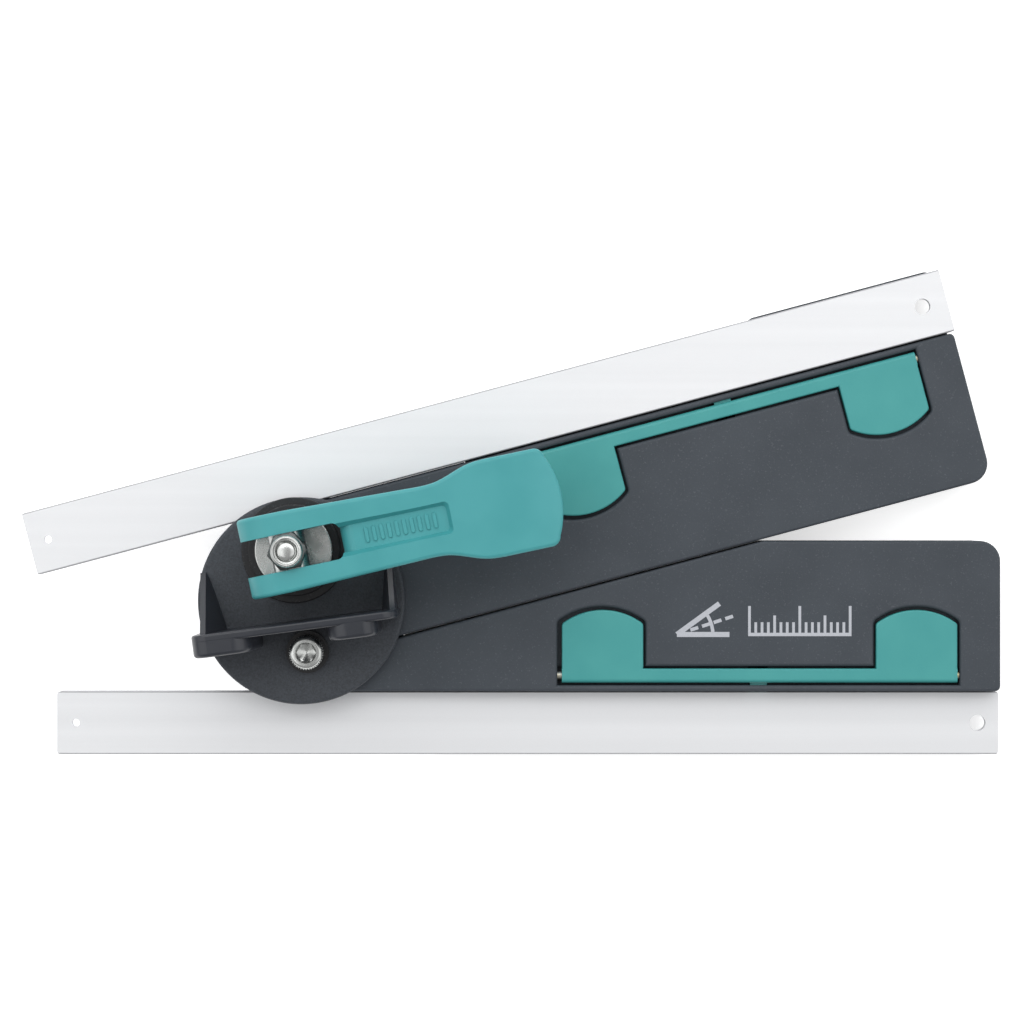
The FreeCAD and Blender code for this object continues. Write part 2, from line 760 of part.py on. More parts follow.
def pivot_nut():
    x, y = LOWER_PIVOT.x, LOWER_PIVOT.y
    nut = hexagon(x, y, 0.5, 3.7, NUT_ACROSS_FLATS)
    return nut.cut(rod(x, y, 0, 10, SHANK_RADIUS))


# ---- clamp --------------------------------------------------------------------------------------
def washer_at_clamp(steps, hole_radius):
    """Stepped washer round the clamp bolt: (low z, high z, radius) for each step."""
    x, y = UPPER_PIVOT.x, UPPER_PIVOT.y
    washer = None
    for low, high, radius in steps:
        step = round_edges(rod(x, y, low, high, radius), 0.3, level_edge(high))
        washer = step if washer is None else washer.fuse(step)
    return one_solid(washer.cut(rod(x, y, 0, 60, hole_radius)))


def clamp_bolt():
    x, y = UPPER_PIVOT.x, UPPER_PIVOT.y
    end = CLAMP_PIN_Z + 11.7
    shank = rod(x, y, 4.2, end, SHANK_RADIUS)
    shank = shank.makeChamfer(0.6, [e for e in shank.Edges if level_edge(end)(e)])
    return one_solid(shank.fuse(rod(x, y, 0.5, 4.2, HEAD_RADIUS)))


def barrel_pin():
    """Cross pin that the lever turns on, with a seat for the nut."""
    pin = Part.makeCylinder(
        CLAMP_PIN_RADIUS, 2 * FORK_HALF - 0.6, V(0, -FORK_HALF + 0.3, 0), V(0, 1, 0)
    )
    pin = pin.cut(box(-7, 7, -SLOT_HALF, SLOT_HALF, 4.4, 9))
    pin = pin.cut(rod(0, 0, -9, 9, SHANK_RADIUS + 0.15))
    return one_solid(place_lever(pin))


def clamp_nut():
    """Lock nut with its collar, on the cross pin's seat."""
    hexagon_top = 9.2
    nut = hexagon(0, 0, 4.4, hexagon_top, NUT_ACROSS_FLATS, 0)
    nut = nut.common(
        Part.makeCone(7.3, 4.7, 5.2, V(0, 0, 4.4), V(0, 0, 1)).fuse(rod(0, 0, 4.4, 7.6, 6.5))
    )
    collar = round_edges(rod(0, 0, hexagon_top - 1, 10.9, 4.4), 0.8, level_edge(10.9))
    nut = nut.fuse(collar).cut(rod(0, 0, 0, 20, SHANK_RADIUS))
    return one_solid(place_lever(nut))


def lever_half_width(x):
    """Half of the lever's width at x, ahead of the clamp pin."""
    neck = FORK_HALF + (10.3 - FORK_HALF) * min(1.0, max(0.0, x / 40.0))
    flare = min(1.0, max(0.0, (x - 42.0) / 16.5))
    smooth = flare * flare * (3 - 2 * flare)
    return neck + (14.2 - neck) * smooth


def lever_plan():
    """The lever seen from above, as a solid."""
    side = []
    count = 18
    start = -CAM_RADIUS - 0.2
    end = LEVER_LENGTH - 5.4
    for k in range(count + 1):
        x = start + (end - start) * k / count
        side.append((x, lever_half_width(x)))
    left = Part.BSplineCurve()
    left.interpolate([V(x, y, -20) for x, y in side])
    right = Part.BSplineCurve()
    right.interpolate([V(x, -y, -20) for x, y in side])
    width = side[-1][1]
    nose = LEVER_LENGTH - 2.7
    shoulder = width - 2.6
    corner = V(end + 1.9, width - 0.9, -20)
    edges = [
        left.toShape(),
        Part.Arc(V(end, width, -20), corner, V(nose, shoulder, -20)).toShape(),
        Part.Arc(
            V(nose, shoulder, -20), V(LEVER_LENGTH, 0, -20), V(nose, -shoulder, -20)
        ).toShape(),
        Part.Arc(
            V(nose, -shoulder, -20), V(corner.x, -corner.y, -20), V(end, -width, -20)
        ).toShape(),
        right.toShape(),
        Part.LineSegment(V(start, width_at_start(), -20), V(start, -width_at_start(), -20)).toShape(),
    ]
    return Part.Face(Part.Wire(Part.__sortEdges__(edges))).extrude(V(0, 0, 40))


def width_at_start():
    return lever_half_width(-CAM_RADIUS)


def lever_profile():
    """The lever seen from its side, as a solid: cam, arm and grip."""
    start = V(-4.0, 0, LEVER_TOP)
    top = [
        start,
        V(20.0, 0, LEVER_TOP - 0.1),
        V(44.0, 0, LEVER_TOP - 0.4),
        V(62.0, 0, LEVER_TOP + 0.3),
        V(74.0, 0, LEVER_TOP - 0.4),
        V(LEVER_LENGTH + 1, 0, LEVER_TOP - 1.8),
    ]
    roof = Part.BSplineCurve()
    roof.interpolate(top)
    throat = V(12.0, 0, -7.0)
    bottom = [
        V(LEVER_LENGTH + 1, 0, LEVER_BOTTOM + 1.6),
        V(68.0, 0, LEVER_BOTTOM - 0.2),
        V(44.0, 0, LEVER_BOTTOM),
        V(26.0, 0, LEVER_BOTTOM - 0.2),
        throat,
    ]
    floor = Part.BSplineCurve()
    floor.interpolate(bottom)
    inside = V(0, 0, throat.z)
    edges = [
        roof.toShape(),
        Part.LineSegment(top[-1], bottom[0]).toShape(),
        floor.toShape(),
        Part.LineSegment(throat, inside).toShape(),
        Part.LineSegment(inside, start).toShape(),
    ]
    beam = Part.Face(Part.Wire(edges)).extrude(V(0, 40, 0))
    beam.translate(V(0, -20, 0))
    cam = Part.makeCylinder(CAM_RADIUS, 40, V(0, -20, -CAM_OFFSET), V(0, 1, 0))
    cam = cam.cut(box(-20, 20, -21, 21, LEVER_TOP, 20))
    return one_solid(beam.fuse(cam))


def lever_panel():
    """The sunk panel ahead of the slot, with sloping sides and a rounded step into the slot."""
    floor_z = LEVER_TOP - PANEL_DEPTH
    wires = []
    for z, half, grow in ((floor_z, 3.7, 0.0), (LEVER_TOP + 1.0, 5.5, 1.8)):
        corners = [
            (SLOT_END - 4 - grow, -half, 0.8),
            (PANEL_END - 2.0 + grow, -half, 1.2 + grow / 3),
            (PANEL_END - 2.0 + grow, half, 1.2 + grow / 3),
            (SLOT_END - 4 - grow, half, 0.8),
        ]
        wires.append(rounded_face(corners, lambda p, z=z: V(p.x, p.y, z)).OuterWire)
    panel = Part.makeLoft(wires, True)
    step = 4.0
    corner = box(SLOT_END - 0.2, SLOT_END + step, -3.7, 3.7, floor_z - step, floor_z + 0.1)
    middle = V(SLOT_END + step, -10, floor_z - step)
    corner = corner.cut(Part.makeCylinder(step, 20, middle, V(0, 1, 0)))
    return panel.fuse(corner)


def clamp_lever():
    """Forked cam lever with a sunk panel."""
    lever = lever_plan().common(lever_profile())
    curl = CAM_RADIUS + CURL_START
    centre_z = LEVER_TOP - curl
    corner = box(-25, CURL_START, -21, 21, centre_z, 30)
    lever = lever.cut(corner.cut(Part.makeCylinder(curl, 50, V(CURL_START, -25, centre_z), V(0, 1, 0))))

    def rim(edge):
        place = edge.BoundBox
        high = place.ZMin > centre_z - 1 and place.ZMax > LEVER_TOP - 2.5
        return high and place.YLength < 25 and place.XLength > 0.3

    lever = round_edges(lever, 1.1, rim)
    slot = prism(
        [
            (-CAM_RADIUS - 2, -SLOT_HALF, 0),
            (SLOT_END, -SLOT_HALF, 2.0),
            (SLOT_END, SLOT_HALF, 2.0),
            (-CAM_RADIUS - 2, SLOT_HALF, 0),
        ],
        -20,
        20,
    )
    lever = lever.cut(slot).cut(lever_panel())
    bore = Part.makeCylinder(CLAMP_PIN_RADIUS + 0.06, 60, V(0, -30, 0), V(0, 1, 0))
    lever = lever.cut(bore)
    return one_solid(place_lever(lever))


# ---- the whole tool -----------------------------------------------------------------------------
def main():
    os.makedirs("parts", exist_ok=True)
    save(place_lower(arm_shell(True)), "lower_arm_shell")
    save(place_lower(arm_base(True)), "lower_arm_base")
    save(place_lower(arm_screws()), "lower_arm_screws")
    save(place_lower(rail(LOWER_RAIL_BOTTOM, 0.9, LOWER_HOLE_INSET)), "lower_rail")
    save(place_lower(lock_flap(LOWER_NOSE)), "lower_lock_flap")
    save(place_lower(flap_pin()), "lower_flap_pin")
    save(place_upper(arm_shell(False)), "upper_arm_shell")
    save(place_upper(arm_base(False)), "upper_arm_base")
    save(place_upper(arm_screws()), "upper_arm_screws")
    save(place_upper(rail(UPPER_RAIL_BOTTOM, 0.5, UPPER_HOLE_INSET)), "upper_rail")
    save(place_upper(lock_flap(UPPER_NOSE)), "upper_lock_flap")
    save(place_upper(flap_pin()), "upper_flap_pin")
    save(base_disc(), "base_disc")
    save(hub_plate(), "hub_plate")
    save(pivot_bush(UPPER_PIVOT), "upper_pivot_bush")
    save(pivot_bush(LOWER_PIVOT), "lower_pivot_bush")
    save(pivot_screw(), "pivot_screw")
    save(pivot_washer(), "pivot_washer")
    save(pivot_nut(), "pivot_nut")
    thrust_steps = [
        (HUB_TOP, THRUST_STEP_TOP, THRUST_RADIUS),
        (THRUST_STEP_TOP - 0.5, THRUST_TOP, THRUST_STEP_RADIUS),
    ]
    save(washer_at_clamp(thrust_steps, SHANK_RADIUS + 0.2), "thrust_washer")
    steel_step = [(THRUST_TOP, STEEL_WASHER_TOP, STEEL_WASHER_RADIUS)]
    save(washer_at_clamp(steel_step, SHANK_RADIUS + 0.2), "steel_washer")
    save(clamp_bolt(), "clamp_bolt")
    save(barrel_pin(), "barrel_pin")
    save(clamp_nut(), "clamp_nut")
    save(clamp_lever(), "clamp_lever")


main()
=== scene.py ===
import json
import math

import bmesh
import bpy
from mathutils import Matrix, Vector


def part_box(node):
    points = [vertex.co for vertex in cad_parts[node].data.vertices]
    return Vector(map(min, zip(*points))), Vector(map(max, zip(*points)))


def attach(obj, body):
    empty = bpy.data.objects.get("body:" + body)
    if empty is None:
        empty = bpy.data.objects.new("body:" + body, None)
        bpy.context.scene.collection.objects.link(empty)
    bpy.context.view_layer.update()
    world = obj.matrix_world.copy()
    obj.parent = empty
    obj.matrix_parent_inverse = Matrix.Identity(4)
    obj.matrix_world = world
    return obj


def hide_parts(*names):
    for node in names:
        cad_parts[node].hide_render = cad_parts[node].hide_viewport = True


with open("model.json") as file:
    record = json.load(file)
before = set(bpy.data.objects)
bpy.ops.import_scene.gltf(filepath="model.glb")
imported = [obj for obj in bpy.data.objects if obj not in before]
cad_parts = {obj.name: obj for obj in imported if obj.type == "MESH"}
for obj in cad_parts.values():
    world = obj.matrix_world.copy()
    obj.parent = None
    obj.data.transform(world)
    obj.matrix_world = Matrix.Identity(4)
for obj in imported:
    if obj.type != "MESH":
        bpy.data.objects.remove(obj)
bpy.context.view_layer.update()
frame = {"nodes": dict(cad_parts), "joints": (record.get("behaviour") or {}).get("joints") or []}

MM = 0.001
NODES = frame["nodes"]
JOINTS = {joint["name"]: joint for joint in frame["joints"]}


def srgb(red, green, blue):
    """A colour given in sRGB, 0 to 255, as linear values."""
    values = []
    for channel in (red, green, blue):
        c = channel / 255
        values.append(c / 12.92 if c <= 0.04045 else ((c + 0.055) / 1.055) ** 2.4)
    return (*values, 1.0)


# ---- places, from the frame ---------------------------------------------------------------------
def unit(values):
    return Vector(values).normalized()


LOWER_PIVOT = Vector(JOINTS["hub_turn"]["pos_m"])
UPPER_PIVOT = Vector(JOINTS["upper_arm_turn"]["pos_m"])
LOWER_ALONG = unit(JOINTS["lower_rail_slide"]["axis"])
UPPER_ALONG = unit(JOINTS["upper_rail_slide"]["axis"])
UP = Vector((0, 0, 1))
LOWER_OUT = -UP.cross(LOWER_ALONG)
UPPER_OUT = UP.cross(UPPER_ALONG)
ARM_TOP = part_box("upper_arm_shell")[1].z
DISC_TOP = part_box("thrust_washer")[0].z
CLAMP_PIN = Vector(JOINTS["clamp_cam"]["pos_m"])
LEVER_ALONG = UP.cross(unit(JOINTS["clamp_cam"]["axis"]))
LEVER_ALONG = LEVER_ALONG if LEVER_ALONG.x > 0 else -LEVER_ALONG
LEVER_LEFT = UP.cross(LEVER_ALONG)
# the rails' long edges, outward from their arms' pivots, and the width of the painted shade along
# each edge
LOW_RAIL_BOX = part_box("lower_rail")
RAIL_EDGES = (LOWER_PIVOT.y - LOW_RAIL_BOX[1].y, LOWER_PIVOT.y - LOW_RAIL_BOX[0].y)
EDGE_SHADE_WIDTH = 0.00045

# ---- sizes of the pieces made here, in millimetres ----------------------------------------------
# the M6 screw, bolt and nut: radii, widths across flats and thread pitch
SHANK = 3.0  # radius
HEAD = 5.0  # radius
ACROSS_FLATS = 10.0
SOCKET_FLATS = 5.0
PITCH = 1.0
# the printed sign, along the lower arm and inward from its pivot: an angle, then a scale
SIGN_START = 108.5
SIGN_LOW = 4.8
SIGN_ANGLE = 36.0
SIGN_REACH = 15.5
SIGN_ARC = 10.6
SIGN_BOLD = 1.5
SIGN_FINE = 1.0
DASH_START = 4.2
DASH_STEP = 3.6
DASH_LENGTH = 2.4
DASH_COUNT = 4
SCALE_START = SIGN_START + 21.0
SCALE_END = 160.0
TICK_COUNT = 16
TICK_WIDTH = 0.8
# the ribs on the lever's panel, from the clamp's cross pin
RIB_FLOOR = 5.4
RIB_START = 23.0
RIB_STEP = 2.2
RIB_COUNT = 10
RIB_HALF = 1.7
RIB_ROUND = 0.55
RIB_SOFT = 0.16


def frame_matrix(origin, along, left):
    """A matrix from local x, y, z (along, left, up) to the row's frame."""
    up = along.cross(left)
    matrix = Matrix((along, left, up)).transposed().to_4x4()
    matrix.translation = origin
    return matrix


# ---- material nodes -----------------------------------------------------------------------------
class Shader:
    """A small helper that adds nodes to one material."""

    def __init__(self, name):
        self.material = bpy.data.materials.new(name)
        self.material.use_nodes = True
        self.nodes = self.material.node_tree.nodes
        self.links = self.material.node_tree.links
        self.base = self.nodes["Principled BSDF"]

    def add(self, kind, **values):
        node = self.nodes.new(kind)
        for key, value in values.items():
            setattr(node, key, value)
        return node

    def link(self, start, end):
        self.links.new(start, end)

    def place(self, scale=(1, 1, 1), turn=(0, 0, 0)):
        """Object coordinates in metres, turned and scaled."""
        coordinates = self.add("ShaderNodeTexCoord")
        mapping = self.add("ShaderNodeMapping")
        mapping.inputs["Scale"].default_value = scale
        mapping.inputs["Rotation"].default_value = turn
        self.link(coordinates.outputs["Object"], mapping.inputs["Vector"])
        return mapping.outputs["Vector"]

    def noise(self, vector, scale, detail=2.0, roughness=0.5):
        node = self.add("ShaderNodeTexNoise")
        node.inputs["Scale"].default_value = scale
        node.inputs["Detail"].default_value = detail
        node.inputs["Roughness"].default_value = roughness
        self.link(vector, node.inputs["Vector"])
        return node.outputs["Fac"]

    def spread(self, value, low, high, to_low, to_high):
        node = self.add("ShaderNodeMapRange")
        node.inputs["From Min"].default_value = low
        node.inputs["From Max"].default_value = high
        node.inputs["To Min"].default_value = to_low
        node.inputs["To Max"].default_value = to_high
        self.link(value, node.inputs["Value"])
        return node.outputs["Result"]

    def mix(self, factor, first, second):
        """Two colours mixed; the numbered sockets are the ones for colours."""
        node = self.add("ShaderNodeMix", data_type="RGBA")
        self.feed(factor, node.inputs[0])
        self.feed(first, node.inputs[6])
        self.feed(second, node.inputs[7])
        return node.outputs[2]

    def cloudy(self, cloud, first, second):
        """Two tones, mixed softly by a noise."""
        return self.mix(self.spread(cloud, 0.35, 0.65, 0, 1), first, second)

    def math(self, operation, first, second=0.0):
        node = self.add("ShaderNodeMath", operation=operation)
        self.feed(first, node.inputs[0])
        self.feed(second, node.inputs[1])
        return node.outputs[0]

    def feed(self, value, socket):
        """Link a socket to another one, or set it to a value."""
        if isinstance(value, bpy.types.NodeSocket):
            self.link(value, socket)
        else:
            socket.default_value = value

    def bump(self, height, distance, normal=None):
        node = self.add("ShaderNodeBump")
        node.inputs["Distance"].default_value = distance
        node.inputs["Strength"].default_value = 1.0
        self.link(height, node.inputs["Height"])
        if normal is not None:
            self.link(normal, node.inputs["Normal"])
        return node.outputs["Normal"]

    def finish(self, color, roughness, normal=None, metallic=0.0, specular=0.5):
        """Set the surface's sockets and give the material."""
        self.feed(color, self.base.inputs["Base Color"])
        self.feed(roughness, self.base.inputs["Roughness"])
        if normal is not None:
            self.link(normal, self.base.inputs["Normal"])
        self.base.inputs["Metallic"].default_value = metallic
        self.base.inputs["Specular IOR Level"].default_value = specular
        return self.material


def dark_plastic(name, dark, light, grain, depth, roughness):
    """Moulded glass-filled plastic: eroded grain, faint flow marks and scuffs."""
    shader = Shader(name)
    place = shader.place()
    flow = shader.noise(place, 55, 3)
    speck = shader.noise(place, 1900, 2)
    fine = shader.noise(place, grain, 3, 0.6)
    tone = shader.cloudy(flow, dark, light)
    scuffs = shader.spread(speck, 0.62, 0.72, 0.0, 0.16)
    tone = shader.mix(scuffs, tone, srgb(128, 130, 136))
    rough = shader.spread(fine, 0.3, 0.7, roughness - 0.06, roughness + 0.06)
    normal = shader.bump(fine, depth)
    return shader.finish(tone, rough, normal, specular=0.42)


def hub_plastic(name):
    """Spark-textured on the hub's disc, smooth and glossier on its raised fence."""
    shader = Shader(name)
    coordinates = shader.add("ShaderNodeTexCoord")
    parts = shader.add("ShaderNodeSeparateXYZ")
    shader.link(coordinates.outputs["Object"], parts.inputs["Vector"])
    raised = shader.spread(parts.outputs["Z"], DISC_TOP + 0.0003, DISC_TOP + 0.0006, 0.0, 1.0)
    place = shader.place()
    spark = shader.noise(place, 1700, 3, 0.7)
    fine = shader.noise(place, 2600, 3, 0.6)
    flow = shader.noise(place, 60, 3)
    disc_tone = shader.cloudy(spark, srgb(47, 51, 57), srgb(62, 67, 74))
    fence_tone = shader.cloudy(flow, srgb(38, 41, 48), srgb(43, 46, 53))
    tone = shader.mix(raised, disc_tone, fence_tone)
    smooth = shader.math("SUBTRACT", 1.0, raised)
    grain = shader.math("MULTIPLY", spark, smooth)
    normal = shader.bump(fine, 0.000012, shader.bump(grain, 0.00016))
    rough = shader.spread(raised, 0.0, 1.0, 0.6, 0.3)
    return shader.finish(tone, rough, normal)


def coloured_plastic(name, main, shade, roughness):
    """Satin coloured plastic with a faint moulded grain."""
    shader = Shader(name)
    place = shader.place()
    cloud = shader.noise(place, 70, 2)
    fine = shader.noise(place, 2600, 3, 0.6)
    tone = shader.cloudy(cloud, main, shade)
    rough = shader.spread(fine, 0.3, 0.7, roughness - 0.05, roughness + 0.05)
    normal = shader.bump(fine, 0.00002)
    return shader.finish(tone, rough, normal)


def anodised(name, turn, pivot, outward, width):
    """Satin anodised aluminium, with fine drawing lines and darker long edges: painted shade in
    place of the shading of their bevels.
    """
    shader = Shader(name)
    coordinates = shader.add("ShaderNodeTexCoord")
    across = shader.add("ShaderNodeVectorMath", operation="DOT_PRODUCT")
    shader.link(coordinates.outputs["Object"], across.inputs[0])
    across.inputs[1].default_value = outward
    middle = (width[0] + width[1]) / 2
    half = (width[1] - width[0]) / 2
    off_middle = shader.math("SUBTRACT", across.outputs["Value"], pivot.dot(outward) + middle)
    off_middle = shader.math("ABSOLUTE", off_middle)
    # painted shade: this mask marks a thin strip along each long edge of the rail
    painted_dark = shader.spread(off_middle, half - EDGE_SHADE_WIDTH, half - EDGE_SHADE_WIDTH / 2, 0.0, 1.0)
    along = shader.place((9, 2600, 2600), (0, 0, turn))
    wide = shader.place((3, 240, 240), (0, 0, turn))
    plain = shader.place()
    lines = shader.noise(along, 1.0, 3, 0.65)
    bands = shader.noise(wide, 1.0, 2)
    speck = shader.noise(plain, 3200, 2, 0.6)
    height = shader.math("ADD", lines, shader.math("MULTIPLY", speck, 0.5))
    band = shader.spread(bands, 0.3, 0.7, 0, 1)
    tone = shader.mix(band, srgb(227, 228, 230), srgb(231, 232, 234))
    # painted shade: a darker grey mixed in on the long edges
    tone = shader.mix(painted_dark, tone, srgb(168, 169, 172))
    rough = shader.spread(speck, 0.3, 0.7, 0.52, 0.64)
    normal = shader.bump(height, 0.000012)
    return shader.finish(tone, rough, normal, metallic=0.55)


def bright_steel(name, tone, roughness, second=srgb(186, 188, 186)):
    """Plated metal with a slightly uneven skin of two tones."""
    shader = Shader(name)
    place = shader.place()
    cloud = shader.noise(place, 260, 3)
    fine = shader.noise(place, 2800, 3, 0.6)
    colour = shader.cloudy(cloud, tone, second)
    rough = shader.spread(cloud, 0.3, 0.7, roughness - 0.06, roughness + 0.08)
    normal = shader.bump(fine, 0.000012)
    return shader.finish(colour, rough, normal, metallic=1.0)


def plain_print(name):
    """Light grey pad print."""
    shader = Shader(name)
    fine = shader.noise(shader.place(), 2200, 3, 0.6)
    patches = shader.spread(fine, 0.3, 0.8, 0, 1)
    tone = shader.mix(patches, srgb(186, 189, 196), srgb(172, 175, 182))
    rough = shader.spread(fine, 0.3, 0.7, 0.5, 0.6)
    normal = shader.bump(fine, 0.00001)
    return shader.finish(tone, rough, normal)


def make_materials():
    opening = math.atan2(UPPER_ALONG.y, UPPER_ALONG.x)
    return {
        "arm": dark_plastic(
            "arm_plastic", srgb(57, 63, 70), srgb(62, 68, 75), 2400, 0.00003, 0.6
        ),
        "base": dark_plastic(
            "base_plastic", srgb(52, 55, 61), srgb(58, 61, 67), 2000, 0.00003, 0.62
        ),
        "hub": hub_plastic("hub_plastic"),
        "flap": coloured_plastic("flap_teal", srgb(60, 149, 148), srgb(66, 154, 152), 0.5),
        "lever": coloured_plastic("lever_teal", srgb(61, 150, 154), srgb(67, 155, 159), 0.46),
        "lower_rail": anodised(
            "lower_rail_aluminium", 0.0, LOWER_PIVOT, LOWER_OUT, RAIL_EDGES
        ),
        "upper_rail": anodised(
            "upper_rail_aluminium", -opening, UPPER_PIVOT, UPPER_OUT, RAIL_EDGES
        ),
        "zinc": bright_steel("zinc_steel", srgb(206, 208, 206), 0.26),
        "screw": bright_steel("screw_steel", srgb(170, 170, 168), 0.36),
        # painted dark reflection: a darker steel for the nut's hex, in place of the dark
        # surroundings it reflects
        "nut": bright_steel("nut_steel_painted_dark_reflection", srgb(92, 96, 96), 0.3, srgb(70, 74, 74)),
        "pin": bright_steel("pin_brass", srgb(168, 152, 96), 0.4),
        "washer": dark_plastic(
            "washer_black", srgb(24, 24, 27), srgb(30, 30, 33), 2400, 0.00001, 0.42
        ),
        "print": plain_print("print_grey"),
    }


# ---- CAD nodes ----------------------------------------------------------------------------------
def dress_nodes(materials):
    """Give every CAD node its material."""
    choices = {
        "arm": ("lower_arm_shell", "upper_arm_shell"),
        "base": ("lower_arm_base", "upper_arm_base", "base_disc"),
        "hub": ("hub_plate",),
        "flap": ("lower_lock_flap", "upper_lock_flap"),
        "lever": ("clamp_lever",),
        "lower_rail": ("lower_rail",),
        "upper_rail": ("upper_rail",),
        "zinc": ("pivot_screw", "steel_washer", "clamp_bolt", "barrel_pin", "clamp_nut"),
        "screw": (
            "lower_arm_screws",
            "upper_arm_screws",
            "upper_pivot_bush",
            "lower_pivot_bush",
            "pivot_nut",
        ),
        "pin": ("lower_flap_pin", "upper_flap_pin"),
        "washer": ("pivot_washer", "thrust_washer"),
    }
    for key, names in choices.items():
        for name in names:
            for place in NODES[name].material_slots:
                place.material = materials[key]


# ---- new pieces ---------------------------------------------------------------------------------
def circle(radius, height):
    """One ring of a turned piece: height and a radius for each angle."""
    return height, lambda angle: radius


def hexagon(across_flats, height, most=None):
    """A hexagonal ring; `most` cuts its corners back to a circle."""

    def reach(angle):
        sixth = math.pi / 3
        within = angle % sixth - sixth / 2
        radius = across_flats / 2 / math.cos(within)
        return radius if most is None else min(radius, most)

    return height, reach


def ridged(radius, depth, count, height):
    """A ring with `count` small ridges, for knurling."""
    return height, lambda angle: radius - depth * (0.5 - 0.5 * math.cos(count * angle))


def add_piece(name, mesh, material, body, sharp=32):
    """Put a new mesh in the scene, on a body of the frame."""
    mesh.set_sharp_from_angle(angle=math.radians(sharp))
    mesh.materials.append(material)
    piece = bpy.data.objects.new(name, mesh)
    bpy.context.scene.collection.objects.link(piece)
    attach(piece, body)
    return piece


def mesh_from(shape, name):
    """Close a shape that is done and give its mesh."""
    mesh = bpy.data.meshes.new(name)
    shape.to_mesh(mesh)
    shape.free()
    return mesh


def turned_piece(name, rings, matrix, count=120, hollow=False):
    """A closed mesh through rings of (height, radius at an angle), from the bottom up.

    A hollow piece has no ends: its last ring joins its first.
    """
    shape = bmesh.new()
    loops = []
    for height, reach in rings:
        loop = []
        for step in range(count):
            angle = 2 * math.pi * step / count
            radius = reach(angle) * MM
            place = Vector((radius * math.cos(angle), radius * math.sin(angle), height * MM))
            loop.append(shape.verts.new(matrix @ place))
        loops.append(loop)
    pairs = list(zip(loops, loops[1:]))
    if hollow:
        pairs.append((loops[-1], loops[0]))
    for below, above in pairs:
        for step in range(count):
            after = (step + 1) % count
            shape.faces.new((below[step], below[after], above[after], above[step]))
    if not hollow:
        for loop, turned in ((loops[0], True), (loops[-1], False)):
            middle = shape.verts.new(sum((v.co for v in loop), Vector()) / count)
            for step in range(count):
                after = (step + 1) % count
                corners = (loop[step], loop[after], middle)
                shape.faces.new(corners[::-1] if turned else corners)
    for face in shape.faces:
        face.smooth = True
    return mesh_from(shape, name)


def thread_rings(radius, depth, low, high):
    """Rings of a screw thread, each turned a little further round than the last."""
    steps = 8
    rings = []
    for step in range(int((high - low) / PITCH * steps) + 1):
        height = low + step * PITCH / steps

        def reach(angle, phase=height / PITCH):
            turn = (angle / (2 * math.pi) - phase) % 1.0
            return radius - depth * min(1.0, 2.4 * abs(turn - 0.5))

        rings.append((height, reach))
    return rings


def cap_screw(material):
    """Socket-head screw at the lower pivot: knurled head, chamfered socket, threaded end."""
    low, high = (corner.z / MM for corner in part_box("pivot_screw"))
    seat = high - 6.0
    rings = [circle(2.3, low)]
    rings += thread_rings(SHANK, 0.55, low + 0.5, low + 9.0)
    rings += [
        circle(SHANK, low + 9.4),
        circle(SHANK, seat),
        circle(HEAD - 0.3, seat),
        ridged(HEAD, 0.22, 40, seat + 0.4),
        ridged(HEAD, 0.22, 40, high - 1.15),
        circle(HEAD - 0.24, high - 0.95),
        circle(HEAD - 0.36, high - 0.55),
        circle(HEAD - 0.62, high - 0.22),
        circle(HEAD - 1.0, high - 0.04),
        circle(HEAD - 1.3, high),
        circle(3.05, high),
        circle(2.98, high - 0.06),
        hexagon(SOCKET_FLATS, high - 0.55, 2.84),
        hexagon(SOCKET_FLATS, high - 0.75),
        hexagon(SOCKET_FLATS, high - 3.1),
        circle(2.3, high - 3.2),
        circle(0.3, high - 4.2),
    ]
    place = Matrix.Translation((LOWER_PIVOT.x, LOWER_PIVOT.y, 0))
    mesh = turned_piece("cap_screw", rings, place, 240)
    screw = add_piece("cap_screw", mesh, material, "hub", 28)
    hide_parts("pivot_screw")


def lock_nut(material, painted_dark):
    """Hexagonal nut below its crowned collar, which holds the locking ring; the hex is given a
    darker steel, a painted dark reflection.
    """
    low, high = (corner.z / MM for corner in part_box("clamp_nut"))
    inner = 3.06
    rings = [
        circle(inner, low + 0.3),
        circle(inner + 0.5, low),
        circle(4.75, low),
        hexagon(ACROSS_FLATS, low + 0.35, 5.5),
        hexagon(ACROSS_FLATS, low + 0.7),
        hexagon(ACROSS_FLATS, high - 2.9),
        hexagon(ACROSS_FLATS, high - 2.45, 5.45),
        hexagon(ACROSS_FLATS, high - 2.2, 4.95),
        circle(4.62, high - 2.1),
        circle(4.5, high - 1.9),
        circle(4.5, high - 0.7),
        circle(4.42, high - 0.38),
        circle(4.2, high - 0.12),
        circle(3.9, high),
        circle(3.72, high - 0.04),
        circle(3.6, high - 0.24),
        circle(3.55, high - 0.9),
        circle(inner, high - 1.0),
    ]
    place = frame_matrix(Vector((CLAMP_PIN.x, CLAMP_PIN.y, 0)), LEVER_ALONG, LEVER_LEFT)
    mesh = turned_piece("lock_nut", rings, place, hollow=True)
    nut = add_piece("lock_nut", mesh, material, "clamp_carrier", 28)
    mesh.materials.append(painted_dark)
    # the hex faces below the collar take the darker steel: a painted dark reflection
    for face in mesh.polygons:
        if face.center.z < (high - 2.0) * MM:
            face.material_index = 1
    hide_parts("clamp_nut")


